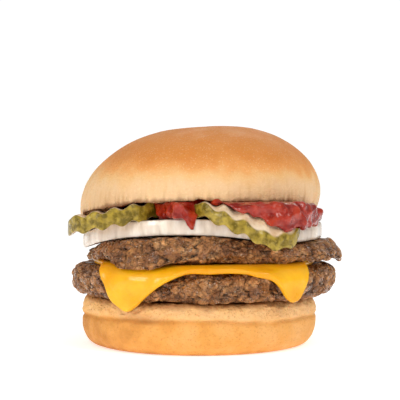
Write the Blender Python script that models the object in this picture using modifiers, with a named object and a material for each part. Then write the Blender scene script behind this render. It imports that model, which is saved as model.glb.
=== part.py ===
"""A double cheeseburger: a soft bun round two beef patties, cheese, onion, pickle chips and ketchup.

Metres, +Z up, the front towards -Y. Every layer is a turned blank whose points are then placed by a
rule of distance from the axis, azimuth and level, so that each piece follows the one it lies on.
Azimuth runs from the front towards +X. The origin is the centre of the bottom of the whole stack.
"""

import bmesh
import bpy
import numpy as np

# Driving dimensions
GAP = 0.0003                  # between neighbouring pieces
CURVED_GAP = 0.0006           # between neighbours whose meeting faces are curved
BUN_RADIUS = 0.0512           # crown at its widest
HEEL_RADIUS = 0.0503
HEEL_FOOT = 0.0415            # radius the bottom bun stands on
HEEL_RIM = 0.0465             # radius of its flat top
HEEL_HEIGHT = 0.0212          # at its rim
HEEL_CREASE = 0.0135          # height of its widest level
HEEL_DISH = 0.0006            # how far its top is pressed in
HEEL_FULLNESS = 0.8           # 1 is a quarter ellipse below the crease, less is fuller
HEEL_OVAL = 0.006             # how much wider it is one way, as a share
HEEL_OVAL_TURN = 0.8          # where its wide way points, in radians
PATTY_RADIUS = 0.055          # of a usual patty, for the share of it that is edge
PATTY_THICKNESS = 0.0129      # lower patty
PATTY_EDGE = 0.0082           # how far in the patties' round edges begin
UPPER_TOP = 0.0470            # height of the upper patty's middle
UPPER_DOME = 2.5              # power of the radius by which its top falls
UPPER_LEAST = 0.0022          # the upper patty at its thinnest
LIP_BEGINS = 0.90             # where its lip begins, as a share of its outline
LIP_FOLLOWED = 0.35           # how much of the lip's fall its top follows
CHEESE_THICKNESS = 0.0025
CHEESE_BEND = 0.0055          # radius of the fold over the patty's edge
CHEESE_TURNS = 0.0027         # how far in from the patty's edge the fold begins
CHEESE_LEAN = np.radians(97)  # how far the hanging cheese has turned from level
CHEESE_STEP = (0.0005, 0.0030)  # where the meat above steps down past the slice's edge
ONION_THICKNESS = 0.0064
ONION_RADIUS = 0.0510
ONION_DROOP = 18.0            # fall past its rim of what lies on it, per metre, with distance squared
CHIP_THICKNESS = 0.0044
CHIP_WAVE = 0.0077            # from crest to crest of the crinkle
CHIP_WAVE_RISE = 0.0008       # crest above the middle
CHIP_TWIST = 40.0             # how much faster a chip sags towards its right end, per metre
CHIP_FILL = 0.97              # how near the grid's ends come to the chip's tips, as a share
KETCHUP_CLEAR = 0.0009        # between ketchup and crown
KETCHUP_HELD = 0.0500         # radius past which the crown no longer shapes it
CROWN_RISE = 0.0314           # top above the widest level
CROWN_WIDEST = 0.0610         # height of the widest level
CROWN_MIDDLE = 0.0604         # height of the cut face at the middle
CROWN_FULLNESS = 2.12         # power of the dome's superellipse
CROWN_CURL = 3                # power of the radius by which the cut face bends to its rim
CROWN_ROLL = 0.066            # slope of the crown, down to the left
CROWN_PITCH = 0.055           # slope of the crown, down to the back
FLANK_DRAW = 30.0             # how the flank draws in, per metre, with depth squared
FLANK_FROM = 0.9              # rings further out than this share belong to the flank

# Facets: steps round each piece, and the angle past which an edge stays sharp
HEEL_STEPS = 40
PATTY_STEPS = 54
CHEESE_STEPS = 60
ONION_STEPS = 48
KETCHUP_STEPS = 54
CROWN_STEPS = 42
CHIP_COLUMNS = 34
ROOM_COLUMNS = 14
SAGGING_ROWS = 6
SHARP_ANGLE = np.radians(50)
ROOM_BEYOND = 0.02            # how far a chip's room is carried on

# Centres of the layers, as slid about in the stack
HEEL_CENTRE = (-0.0004, 0.0)
LOWER_CENTRE = (0.0015, 0.0)
UPPER_CENTRE = (0.0060, 0.0)
ONION_CENTRE = (0.0012, 0.0)
CROWN_CENTRE = (0.0, 0.0)

LOWER_BOTTOM = HEEL_HEIGHT + GAP
LOWER_TOP = LOWER_BOTTOM + PATTY_THICKNESS
CHEESE_MIDDLE = LOWER_TOP + GAP + CHEESE_THICKNESS / 2
UPPER_BOTTOM = CHEESE_MIDDLE + CHEESE_THICKNESS / 2 + GAP

# Values by azimuth, every 30 degrees from the front, in millimetres
LOWER_OUTLINE = (54.4, 54.6, 56.2, 56.8, 55.4, 54.4, 55.0, 54.0, 55.6, 56.8, 54.8, 52.6)
UPPER_OUTLINE = (55.0, 55.4, 56.0, 54.6, 54.2, 54.8, 54.0, 54.6, 54.0, 54.6, 57.0, 60.4)
UPPER_RIM_TOP = (48.1, 45.4, 44.4, 44.6, 43.6, 42.8, 42.5, 42.6, 42.4, 39.6, 43.4, 47.2)
UPPER_LIP = (-0.6, -0.5, 2.0, 3.9, 2.0, 1.4, 1.5, 1.6, 2.0, 3.6, 2.4, 5.6)
CROWN_RIM = (61.8, 61.8, 59.9, 54.6, 52.0, 51.2, 51.0, 51.0, 51.0, 51.4, 56.4, 61.0)
KETCHUP_OUTLINE = (44.0, 60.0, 56.0, 50.0, 39.0, 36.0, 36.5, 35.5, 36.5, 37.0, 40.0, 51.0)
CHEESE_BEYOND_RIM = (-0.6, 0.4, -6.0, -9.0, -7.0, -5.0, -5.5, -5.0, -7.0, -9.5, -6.0, -0.5)

# Ketchup that bulges out between and over the chips: azimuth in degrees, length, half-width in degrees
KETCHUP_LOBES = ((-8, 0.0080, 8), (14, 0.0070, 10))

# Cheese corners that hang: azimuth in degrees, length beyond the rim, then half-width in degrees and
# squareness, left and right of the corner
CHEESE_CORNERS = (
    (-35, 0.0196, (12.5, 2.2), (18, 1.45)),
    (39, 0.0155, (8.5, 1.9), (7.5, 2.8)),
    (134, 0.0130, (15, 1.6), (15, 1.6)),
    (-142, 0.0150, (15, 1.6), (15, 1.6)),
)

# Pickle chips: centre, radius, height of the middle, slope towards +X, slope towards the back,
# and how far the chip sags beyond the onion's edge, per metre, with distance squared
CHIPS = {
    "pickle_chip_left": ((-0.0347, -0.0280), 0.0194, 0.0560, 0.19, -0.03, 0.0),
    "pickle_chip_right": ((0.0175, -0.0365), 0.0235, 0.0577, -0.105, 0.01, 45.0),
    "pickle_chip_back": ((0.0300, 0.0050), 0.0180, 0.0585, -0.04, -0.04, 0.0),
}


def around(millimetres):
    """A smooth closed curve of azimuth through evenly spaced values, given in millimetres."""
    waves = np.fft.rfft(millimetres) / len(millimetres) / 1000

    def at(azimuth):
        total = np.full(np.shape(azimuth), waves[0].real)
        for order, wave in enumerate(waves[1:], 1):
            share = 1 if 2 * order == len(millimetres) else 2
            swing = wave.real * np.cos(order * azimuth) - wave.imag * np.sin(order * azimuth)
            total = total + share * swing
        return total

    return at


lower_outline = around(LOWER_OUTLINE)
upper_outline = around(UPPER_OUTLINE)
upper_rim_top = around(UPPER_RIM_TOP)
upper_lip = around(UPPER_LIP)
crown_rim = around(CROWN_RIM)
ketchup_outline = around(KETCHUP_OUTLINE)
cheese_beyond_rim = around(CHEESE_BEYOND_RIM)


def polar(x, y, centre):
    """Distance from an upright axis, and azimuth about it."""
    return np.hypot(x - centre[0], y - centre[1]), np.arctan2(x - centre[0], centre[1] - y)


def place(radius, azimuth, centre):
    """The x and y of points given by distance and azimuth about an upright axis."""
    return centre[0] + radius * np.sin(azimuth), centre[1] - radius * np.cos(azimuth)


def eased(value, start, end):
    """A smooth step from 0 at start to 1 at end."""
    share = np.clip((value - start) / (end - start), 0, 1)
    return share * share * (3 - 2 * share)


def hump(azimuth, middle, half_width, squareness=2.0):
    """A hump of height 1 about one azimuth, all given in degrees but the azimuth."""
    away = np.abs((azimuth - np.radians(middle) + np.pi) % (2 * np.pi) - np.pi)
    return np.exp(-(away / np.radians(half_width)) ** squareness)


# Surfaces where layers meet, as heights over x and y

def upper_patty_top(x, y):
    """The surface under the onion: domed, lower round the rim and lowest at the left."""
    radius, azimuth = polar(x, y, ONION_CENTRE)
    return UPPER_TOP - (UPPER_TOP - upper_rim_top(azimuth)) * (radius / ONION_RADIUS) ** UPPER_DOME


def onion_top(x, y):
    """The onion's upper face, carried on past its rim as a falling curve."""
    radius, azimuth = polar(x, y, ONION_CENTRE)
    held = np.minimum(radius, ONION_RADIUS)
    x_held, y_held = place(held, azimuth, ONION_CENTRE)
    level = upper_patty_top(x_held, y_held) + CURVED_GAP + ONION_THICKNESS
    return level - ONION_DROOP * (radius - held) ** 2


def crown_bottom(x, y):
    """The crown's cut face, which lifts over the fillings at the front and hangs at the back."""
    radius, azimuth = polar(x, y, CROWN_CENTRE)
    return CROWN_MIDDLE + (crown_rim(azimuth) - CROWN_MIDDLE) * (radius / BUN_RADIUS) ** CROWN_CURL


def cheese_reach(azimuth):
    """Length of the slice from the stack's axis along the surface it lies on."""
    reach = lower_outline(azimuth) + cheese_beyond_rim(azimuth)
    for middle, length, left, right in CHEESE_CORNERS:
        on_left = (azimuth - np.radians(middle) + np.pi) % (2 * np.pi) < np.pi
        corner = np.where(on_left, hump(azimuth, middle, *left), hump(azimuth, middle, *right))
        reach = reach + length * corner
    return reach


def lying_surface(x, y):
    """Top of the cheese on the lower patty, and of the bare patty past it, down to the patty's edge."""
    radius, azimuth = polar(x, y, LOWER_CENTRE)
    past = np.clip(radius - (lower_outline(azimuth) - CHEESE_TURNS), 0, None)
    outer = CHEESE_BEND + CHEESE_THICKNESS / 2
    fall = outer - np.sqrt(np.clip(outer ** 2 - past ** 2, 0, None))
    bare = eased(radius - cheese_reach(azimuth), *CHEESE_STEP)
    hidden = past > outer
    return np.where(hidden, 0.0, CHEESE_MIDDLE + (0.5 - bare) * CHEESE_THICKNESS - fall)


def chip_height(name, x, y):
    """Middle of a chip without its crinkle: a slope that sags past the onion's edge."""
    centre, _, height, slope_right, slope_back, sag = CHIPS[name]
    along = x - centre[0]
    beyond = np.clip(np.hypot(x - ONION_CENTRE[0], y) - ONION_RADIUS, 0, None)
    sag = sag * (1 + CHIP_TWIST * np.clip(along, 0, None))
    return height + slope_right * along + slope_back * (y - centre[1]) - sag * beyond ** 2


# Blanks and tools

def collection(name):
    """A new collection in the scene."""
    group = bpy.data.collections.new(name)
    bpy.context.scene.collection.children.link(group)
    return group


def material(name, colour, roughness):
    """A plain Principled material."""
    made = bpy.data.materials.new(name)
    made.use_nodes = True
    shader = made.node_tree.nodes["Principled BSDF"]
    shader.inputs["Base Color"].default_value = (*colour, 1.0)
    shader.inputs["Roughness"].default_value = roughness
    shader.inputs["Metallic"].default_value = 0.0
    return made


def turned(name, profile, steps):
    """A mesh turned about Z from a profile of radius and level, run from the top down the outside."""
    mesh = bpy.data.meshes.new(name)
    edges = [(index, index + 1) for index in range(len(profile) - 1)]
    mesh.from_pydata([(radius, 0.0, level) for radius, level in profile], edges, [])
    blank = bpy.data.objects.new(name, mesh)
    bpy.context.scene.collection.objects.link(blank)
    screw = blank.modifiers.new("Turn", "SCREW")
    screw.steps = steps
    screw.render_steps = steps
    screw.use_merge_vertices = True
    screw.merge_threshold = 0.0001
    graph = bpy.context.evaluated_depsgraph_get()
    made = bpy.data.meshes.new_from_object(blank.evaluated_get(graph))
    made.name = name
    bpy.data.objects.remove(blank)
    return made


def disc_profile(rings, edge, edge_steps):
    """Profile of a unit disc: level 1 on top, an elliptic edge that begins at 1 - edge, -1 below."""
    top = [(ring, 1.0) for ring in rings]
    turns = np.linspace(0, np.pi, edge_steps + 1)
    nose = [(1 - edge + edge * np.sin(turn), np.cos(turn)) for turn in turns]
    return top + nose + [(ring, -1.0) for ring in reversed(rings)]


def shaped(mesh, rule):
    """Moves every point of a turned blank to where the rule puts its ring, azimuth and level."""
    flat = np.empty(len(mesh.vertices) * 3)
    mesh.vertices.foreach_get("co", flat)
    points = flat.reshape(-1, 3)
    ring = np.hypot(points[:, 0], points[:, 1])
    azimuth = np.arctan2(points[:, 0], -points[:, 1])
    points = np.stack(rule(ring, azimuth, points[:, 2]), axis=1)
    mesh.vertices.foreach_set("co", points.ravel())
    mesh.update()
    return mesh


def piece(name, mesh, look, group):
    """An object for a finished mesh, smooth but for its sharp corners."""
    made = bpy.data.objects.new(name, mesh)
    group.objects.link(made)
    mesh.materials.clear()
    mesh.materials.append(look)
    mesh.shade_smooth()
    mesh.set_sharp_from_angle(angle=SHARP_ANGLE)
    return made


def cut(target, cutters):
    """Takes cutters away from a piece."""
    for cutter in cutters:
        step = target.modifiers.new("Cut " + cutter.name, "BOOLEAN")
        step.operation = "DIFFERENCE"
        step.solver = "EXACT"
        step.object = cutter


# Pieces

def bun_heel(look, group):
    """The bottom bun: full round sides above a smaller foot, and a slightly dished top."""
    dish = HEEL_HEIGHT - HEEL_DISH
    top = [(0.0, dish), (0.030, dish)]
    shoulder = [
        (
            HEEL_RIM + (HEEL_RADIUS - HEEL_RIM) * np.sin(turn),
            HEEL_CREASE + (HEEL_HEIGHT - HEEL_CREASE) * np.cos(turn),
        )
        for turn in np.linspace(0, np.pi / 2, 5)
    ]
    base = [
        (
            HEEL_FOOT + (HEEL_RADIUS - HEEL_FOOT) * np.sin(turn) ** HEEL_FULLNESS,
            HEEL_CREASE - HEEL_CREASE * np.cos(turn) ** HEEL_FULLNESS,
        )
        for turn in np.linspace(np.pi / 2, 0, 6)[1:]
    ]

    def rule(ring, azimuth, level):
        oval = HEEL_OVAL * np.sin(2 * azimuth + HEEL_OVAL_TURN) * eased(level, 0, HEEL_CREASE)
        x, y = place(ring * (1 + oval), azimuth, HEEL_CENTRE)
        return x, y, level

    profile = top + shoulder + base + [(0.0, 0.0)]
    return piece("bun_heel", shaped(turned("bun_heel", profile, HEEL_STEPS), rule), look, group)


def patty_lower(look, group):
    """The lower patty: a level disc of ground beef with a lobed, rounded edge."""

    def rule(ring, azimuth, level):
        x, y = place(ring * lower_outline(azimuth), azimuth, LOWER_CENTRE)
        return x, y, (LOWER_TOP + LOWER_BOTTOM + level * PATTY_THICKNESS) / 2

    profile = disc_profile((0.0, 0.45, 0.78), PATTY_EDGE / PATTY_RADIUS, 6)
    return piece("patty_lower", shaped(turned("patty_lower", profile, PATTY_STEPS), rule), look, group)


def cheese_slice(look, group):
    """A square slice laid over the lower patty, its corners folded down over the patty's edge."""

    def rule(ring, azimuth, level):
        reach = ring * cheese_reach(azimuth)
        start = lower_outline(azimuth) - CHEESE_TURNS
        turn = np.clip((reach - start) / CHEESE_BEND, 0, CHEESE_LEAN)
        hanging = np.clip(reach - start - CHEESE_BEND * CHEESE_LEAN, 0, None)
        outwards = np.minimum(reach, start) + CHEESE_BEND * np.sin(turn) + hanging * np.cos(turn)
        down = CHEESE_BEND * (1 - np.cos(turn)) + hanging * np.sin(turn)
        offset = level * CHEESE_THICKNESS / 2
        x, y = place(outwards + offset * np.sin(turn), azimuth, LOWER_CENTRE)
        return x, y, CHEESE_MIDDLE - down + offset * np.cos(turn)

    profile = disc_profile((0.0, 0.45, 0.66, 0.74, 0.82, 0.90), 0.02, 2)
    return piece("cheese_slice", shaped(turned("cheese_slice", profile, CHEESE_STEPS), rule), look, group)


def patty_upper(look, group):
    """The upper patty: bent down round its edge, with a lip that hangs over the cheese at the front."""

    def rule(ring, azimuth, level):
        x, y = place(ring * upper_outline(azimuth), azimuth, UPPER_CENTRE)
        hang = upper_lip(azimuth) * eased(ring, LIP_BEGINS, 1.0)
        top = upper_patty_top(x, y) - LIP_FOLLOWED * np.clip(hang, 0, None)
        bottom = np.maximum(UPPER_BOTTOM - hang, lying_surface(x, y) + GAP)
        top = np.maximum(top, bottom + UPPER_LEAST)
        return x, y, (top + bottom + level * (top - bottom)) / 2

    profile = disc_profile((0.0, 0.42, 0.66, 0.80), PATTY_EDGE / PATTY_RADIUS, 6)
    return piece("patty_upper", shaped(turned("patty_upper", profile, PATTY_STEPS), rule), look, group)


def onion_slice(look, group):
    """A thick slice of onion, bent over the upper patty."""

    def rule(ring, azimuth, level):
        x, y = place(ring * ONION_RADIUS, azimuth, ONION_CENTRE)
        middle = onion_top(x, y) - ONION_THICKNESS / 2
        return x, y, middle + level * ONION_THICKNESS / 2

    profile = disc_profile((0.0, 0.28, 0.48, 0.66, 0.84), 0.02, 3)
    return piece("onion_slice", shaped(turned("onion_slice", profile, ONION_STEPS), rule), look, group)


def chip_mesh(name, columns, wave, grow=0.0, above=0.0, below=0.0):
    """A disc with waves along X: a grid drawn in to a round outline, then extruded to its thickness."""
    centre, radius, *_, sag = CHIPS[name]
    rows = SAGGING_ROWS if sag else 2
    shape = bmesh.new()
    bmesh.ops.create_grid(shape, x_segments=columns, y_segments=rows, size=1.0)
    for vertex in shape.verts:
        along = (radius + grow) * np.sin(vertex.co.x * np.pi / 2 * CHIP_FILL)
        across = vertex.co.y * np.sqrt((radius + grow) ** 2 - along ** 2)
        x, y = centre[0] + along, centre[1] + across
        middle = chip_height(name, x, y) + wave * np.cos(2 * np.pi * along / CHIP_WAVE)
        vertex.co = (x, y, middle - CHIP_THICKNESS / 2 - below)
    lifted = bmesh.ops.extrude_face_region(shape, geom=shape.faces[:])["geom"]
    upper = [part for part in lifted if isinstance(part, bmesh.types.BMVert)]
    bmesh.ops.translate(shape, vec=(0, 0, CHIP_THICKNESS + above + below), verts=upper)
    bmesh.ops.recalc_face_normals(shape, faces=shape.faces[:])
    mesh = bpy.data.meshes.new(name)
    shape.to_mesh(mesh)
    shape.free()
    return mesh


def chip(name, look, group):
    """A crinkle-cut pickle chip."""
    return piece(name, chip_mesh(name, CHIP_COLUMNS, CHIP_WAVE_RISE), look, group)


def chip_room(name, side, group):
    """A smooth, slightly larger chip, carried on above (1) or below (-1), that makes room for the chip."""
    room = CHIP_WAVE_RISE + GAP
    above = ROOM_BEYOND if side > 0 else room
    below = room if side > 0 else ROOM_BEYOND
    mesh = chip_mesh(name, ROOM_COLUMNS, 0.0, GAP, above, below)
    cutter = bpy.data.objects.new(f"room_{name}", mesh)
    group.objects.link(cutter)
    cutter.hide_render = True
    cutter.display_type = "WIRE"
    return cutter


def ketchup(look, group, cutters):
    """Ketchup that fills the space between onion and crown out to an uneven edge."""

    def rule(ring, azimuth, level):
        outline = ketchup_outline(azimuth)
        for middle, length, half_width in KETCHUP_LOBES:
            outline = outline + length * hump(azimuth, middle, half_width)
        x, y = place(ring * outline, azimuth, CROWN_CENTRE)
        x_held, y_held = place(np.minimum(ring * outline, KETCHUP_HELD), azimuth, CROWN_CENTRE)
        bottom = onion_top(x, y) + CURVED_GAP
        top = np.maximum(crown_bottom(x_held, y_held) - KETCHUP_CLEAR, bottom + GAP)
        return x, y, (top + bottom + level * (top - bottom)) / 2

    profile = disc_profile((0.0, 0.35, 0.62, 0.82), 0.06, 4)
    made = piece("ketchup", shaped(turned("ketchup", profile, KETCHUP_STEPS), rule), look, group)
    cut(made, cutters)
    return made


def bun_crown(look, group, cutters):
    """The top bun: a tall dome over a short flank, dented from below by the pickle chips."""
    power = 2 / CROWN_FULLNESS
    dome = [(np.sin(turn) ** power, np.cos(turn) ** power) for turn in np.linspace(0, np.pi / 2, 8)]
    flank = [(1.0, -0.45), (0.995, -0.85), (0.965, -1.0)]
    face = [(0.84, -1.0), (0.67, -1.0), (0.45, -1.0), (0.0, -1.0)]

    def rule(ring, azimuth, level):
        x, y = place(ring * BUN_RADIUS, azimuth, CROWN_CENTRE)
        widest = CROWN_WIDEST + CROWN_ROLL * x - CROWN_PITCH * y
        bottom = crown_bottom(x, y)
        z = np.where(level >= 0, widest + level * CROWN_RISE, widest + level * (widest - bottom))
        depth = np.clip(widest - z, 0, None) * (ring > FLANK_FROM)
        x, y = place(ring * (BUN_RADIUS - FLANK_DRAW * depth ** 2), azimuth, CROWN_CENTRE)
        return x, y, z

    made = piece("bun_crown", shaped(turned("bun_crown", dome + flank + face, CROWN_STEPS), rule), look, group)
    cut(made, cutters)
    return made


def to_origin(group):
    """The move that puts the centre of the bottom of the pieces' shared box at the origin."""
    corners = np.array([vertex.co for made in group.objects for vertex in made.data.vertices])
    low, high = corners.min(axis=0), corners.max(axis=0)
    return -np.array([(low[0] + high[0]) / 2, (low[1] + high[1]) / 2, low[2]])


def main():
    for old in list(bpy.data.objects):
        bpy.data.objects.remove(old)
    parts = collection("double_cheeseburger")
    cutters = collection("cutters")
    bread = material("bread", (0.72, 0.42, 0.16), 0.7)
    beef = material("beef", (0.16, 0.08, 0.045), 0.5)
    pickle = material("pickle", (0.32, 0.27, 0.05), 0.35)

    bun_heel(bread, parts)
    patty_lower(beef, parts)
    cheese_slice(material("cheese", (0.90, 0.48, 0.05), 0.3), parts)
    patty_upper(beef, parts)
    onion_slice(material("onion", (0.85, 0.80, 0.74), 0.25), parts)
    for name in CHIPS:
        chip(name, pickle, parts)

    under = {name: chip_room(name, -1, cutters) for name in CHIPS}
    over_back = chip_room("pickle_chip_back", 1, cutters)
    around_ketchup = (under["pickle_chip_left"], under["pickle_chip_right"], over_back)
    ketchup(material("ketchup", (0.55, 0.03, 0.02), 0.2), parts, around_ketchup)
    bun_crown(bread, parts, under.values())

    shift = to_origin(parts)
    for made in list(parts.objects) + list(cutters.objects):
        made.location = shift


main()
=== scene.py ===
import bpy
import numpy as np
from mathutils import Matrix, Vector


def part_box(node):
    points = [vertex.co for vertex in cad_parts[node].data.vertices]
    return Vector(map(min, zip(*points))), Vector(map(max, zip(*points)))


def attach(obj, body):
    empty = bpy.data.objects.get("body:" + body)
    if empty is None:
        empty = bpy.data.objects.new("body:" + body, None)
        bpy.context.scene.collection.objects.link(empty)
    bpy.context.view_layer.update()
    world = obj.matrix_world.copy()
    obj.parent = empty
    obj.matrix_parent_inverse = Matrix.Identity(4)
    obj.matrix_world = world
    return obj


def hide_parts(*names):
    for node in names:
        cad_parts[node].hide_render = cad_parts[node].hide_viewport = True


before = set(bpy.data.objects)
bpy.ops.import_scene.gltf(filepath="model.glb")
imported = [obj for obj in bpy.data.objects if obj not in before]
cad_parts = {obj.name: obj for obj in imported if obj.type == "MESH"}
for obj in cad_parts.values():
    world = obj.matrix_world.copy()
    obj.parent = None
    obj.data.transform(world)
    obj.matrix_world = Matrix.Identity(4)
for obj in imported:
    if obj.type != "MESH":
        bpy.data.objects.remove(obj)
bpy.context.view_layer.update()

# Looks of a double cheeseburger: bread, beef, cheese, onion, pickle chips and ketchup.
#
# Every piece is a closed surface over two parameters: a row, from the middle of the top over the edge
# to the middle of the bottom, and an azimuth, from the front (-Y) towards +X. Lengths are in metres.

MM = 0.001

# Driving dimensions, as the solids have them
GAP = 0.3 * MM                   # between neighbouring pieces
CURVED_GAP = 0.6 * MM            # between neighbours whose meeting faces are curved
BUN_RADIUS = 51.2 * MM           # crown at its widest
HEEL_RADIUS = 50.3 * MM
HEEL_FOOT = 41.5 * MM            # radius the bottom bun stands on
HEEL_RIM = 46.5 * MM             # radius of its flat top
HEEL_HEIGHT = 21.2 * MM          # at its rim
HEEL_CREASE = 13.5 * MM          # height of its widest level
HEEL_DISH = 0.6 * MM             # how far its top is pressed in
HEEL_FULLNESS = 0.8              # 1 is a quarter ellipse below the crease, less is fuller
HEEL_OVAL = 0.006                # how much wider it is one way, as a share
HEEL_OVAL_TURN = 0.8             # where its wide way points, in radians
PATTY_THICKNESS = 12.9 * MM      # lower patty
UPPER_TOP = 47.0 * MM            # height of the upper patty's middle
UPPER_DOME = 2.5                 # power of the radius by which its top falls
UPPER_LEAST = 2.2 * MM           # the upper patty at its thinnest
LIP_BEGINS = 0.90                # where its lip begins, as a share of its outline
LIP_FOLLOWED = 0.35              # how much of the lip's fall its top follows
CHEESE_THICKNESS = 2.5 * MM
CHEESE_BEND = 5.5 * MM           # radius of the fold over the patty's edge
CHEESE_TURNS = 2.7 * MM          # how far in from the patty's edge the fold begins
CHEESE_LEAN = np.radians(97)     # how far the hanging cheese has turned from level
CHEESE_STEP = (0.5 * MM, 3.0 * MM)  # where the meat above steps down past the slice's edge
ONION_THICKNESS = 6.4 * MM
ONION_RADIUS = 51.0 * MM
ONION_DROOP = 18.0               # fall past its rim of what lies on it, per metre, with distance squared
CHIP_THICKNESS = 4.4 * MM
CHIP_WAVE = 7.7 * MM             # from crest to crest of the crinkle
CHIP_WAVE_RISE = 0.8 * MM        # crest above the middle
CHIP_TWIST = 40.0                # how much faster a chip sags towards its right end, per metre
KETCHUP_HELD = 50 * MM           # radius past which the crown no longer shapes the ketchup
CROWN_RISE = 31.4 * MM           # top above the widest level
CROWN_WIDEST = 61.0 * MM         # height of the widest level
CROWN_MIDDLE = 60.4 * MM         # height of the cut face at the middle
CROWN_FULLNESS = 2.12            # power of the dome's superellipse
CROWN_CURL = 3                   # power of the radius by which the cut face bends to its rim
CROWN_ROLL = 0.066               # slope of the crown, down to the left
CROWN_PITCH = 0.055              # slope of the crown, down to the back
FLANK_DRAW = 30                  # how the flank draws in, per metre, with depth squared
FLANK_FROM = 0.9                 # rings further out than this share belong to the flank

HEEL_CENTRE = (-0.4 * MM, 0.0)
LOWER_CENTRE = (1.5 * MM, 0.0)
UPPER_CENTRE = (6.0 * MM, 0.0)
ONION_CENTRE = (1.2 * MM, 0.0)
CROWN_CENTRE = (0.0, 0.0)

LOWER_BOTTOM = HEEL_HEIGHT + GAP
LOWER_TOP = LOWER_BOTTOM + PATTY_THICKNESS
CHEESE_MIDDLE = LOWER_TOP + GAP + CHEESE_THICKNESS / 2
UPPER_BOTTOM = CHEESE_MIDDLE + CHEESE_THICKNESS / 2 + GAP

# Values by azimuth, every 30 degrees from the front, in millimetres
LOWER_OUTLINE = (54.4, 54.6, 56.2, 56.8, 55.4, 54.4, 55.0, 54.0, 55.6, 56.8, 54.8, 52.6)
UPPER_OUTLINE = (55.0, 55.4, 56.0, 54.6, 54.2, 54.8, 54.0, 54.6, 54.0, 54.6, 57.0, 60.4)
UPPER_RIM_TOP = (48.1, 45.4, 44.4, 44.6, 43.6, 42.8, 42.5, 42.6, 42.4, 39.6, 43.4, 47.2)
UPPER_LIP = (-0.6, -0.5, 2.0, 3.9, 2.0, 1.4, 1.5, 1.6, 2.0, 3.6, 2.4, 5.6)
CROWN_RIM = (61.8, 61.8, 59.9, 54.6, 52.0, 51.2, 51.0, 51.0, 51.0, 51.4, 56.4, 61.0)
KETCHUP_OUTLINE = (44.0, 60.0, 56.0, 50.0, 39.0, 36.0, 36.5, 35.5, 36.5, 37.0, 40.0, 51.0)
CHEESE_BEYOND_RIM = (-0.6, 0.4, -6.0, -9.0, -7.0, -5.0, -5.5, -5.0, -7.0, -9.5, -6.0, -0.5)

# Ketchup that bulges out between and over the chips: azimuth in degrees, length, half-width in degrees.
# The last three are the globs that swell and part within the solid's lobes.
KETCHUP_LOBES = (
    (-8, 8.0 * MM, 8), (14, 7.0 * MM, 10),
    (28, 3.2 * MM, 17), (-5, 4.0 * MM, 6), (-28, -8.5 * MM, 7.5),
)

# Cheese corners that hang: azimuth in degrees, length beyond the rim, half-width and squareness each side
CHEESE_CORNERS = (
    (-35, 19.6 * MM, (12.5, 2.2), (18, 1.45)),
    (39, 15.5 * MM, (8.5, 1.9), (7.5, 2.8)),
    (134, 13.0 * MM, (15, 1.6), (15, 1.6)),
    (-142, 15.0 * MM, (15, 1.6), (15, 1.6)),
)

# Pickle chips: centre, radius, height of the middle, slope to the right, slope to the back, sag
CHIPS = {
    "pickle_chip_left": ((-34.7 * MM, -28.0 * MM), 19.4 * MM, 56.0 * MM, 0.19, -0.03, 0.0),
    "pickle_chip_right": ((17.5 * MM, -36.5 * MM), 23.5 * MM, 57.7 * MM, -0.105, 0.01, 45.0),
    "pickle_chip_back": ((30.0 * MM, 5.0 * MM), 18.0 * MM, 58.5 * MM, -0.04, -0.04, 0.0),
}

# How far each chip's skin reaches down past its lower face
CHIP_SKIN_DROP = {"pickle_chip_left": 2.3 * MM, "pickle_chip_right": 1.1 * MM, "pickle_chip_back": 0.8 * MM}

_heel_low, _heel_high = (np.array(corner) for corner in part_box("bun_heel"))
STACK_ORIGIN = np.array([
    (_heel_low[0] + _heel_high[0]) / 2 - HEEL_CENTRE[0],
    (_heel_low[1] + _heel_high[1]) / 2 - HEEL_CENTRE[1],
    _heel_low[2],
])


# Curves and surfaces that the layers share

def around(millimetres):
    """A smooth closed curve of azimuth through evenly spaced values: the sum of their Fourier waves."""
    waves = np.fft.rfft(millimetres) / len(millimetres) * MM

    def at(azimuth):
        total = np.full(np.shape(azimuth), waves[0].real)
        for order, wave in enumerate(waves[1:], 1):
            share = 1 if 2 * order == len(millimetres) else 2
            turned = wave.real * np.cos(order * azimuth) - wave.imag * np.sin(order * azimuth)
            total = total + share * turned
        return total

    return at


lower_outline = around(LOWER_OUTLINE)
upper_outline = around(UPPER_OUTLINE)
upper_rim_top = around(UPPER_RIM_TOP)
upper_lip = around(UPPER_LIP)
crown_rim = around(CROWN_RIM)
ketchup_outline = around(KETCHUP_OUTLINE)
cheese_beyond_rim = around(CHEESE_BEYOND_RIM)


def polar(x, y, centre):
    """Distance from an upright axis, and azimuth about it."""
    return np.hypot(x - centre[0], y - centre[1]), np.arctan2(x - centre[0], centre[1] - y)


def place(radius, azimuth, centre):
    """The x and y of points given by distance and azimuth about an upright axis."""
    return centre[0] + radius * np.sin(azimuth), centre[1] - radius * np.cos(azimuth)


def eased(value, start, end):
    """A smooth step from 0 at start to 1 at end: 3t^2 - 2t^3."""
    share = np.clip((value - start) / (end - start), 0, 1)
    return share * share * (3 - 2 * share)


def bump_at(azimuth, middle, half_width, power=2.0):
    """A hump of 1 at one azimuth: exp of minus the distance in half-widths, raised to a power."""
    away = np.abs((azimuth - np.radians(middle) + np.pi) % (2 * np.pi) - np.pi)
    return np.exp(-(away / np.radians(half_width)) ** power)


def upper_patty_top(x, y):
    """The surface under the onion: the middle height less a fall that grows as a power of the radius."""
    radius, azimuth = polar(x, y, ONION_CENTRE)
    return UPPER_TOP - (UPPER_TOP - upper_rim_top(azimuth)) * (radius / ONION_RADIUS) ** UPPER_DOME


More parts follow.
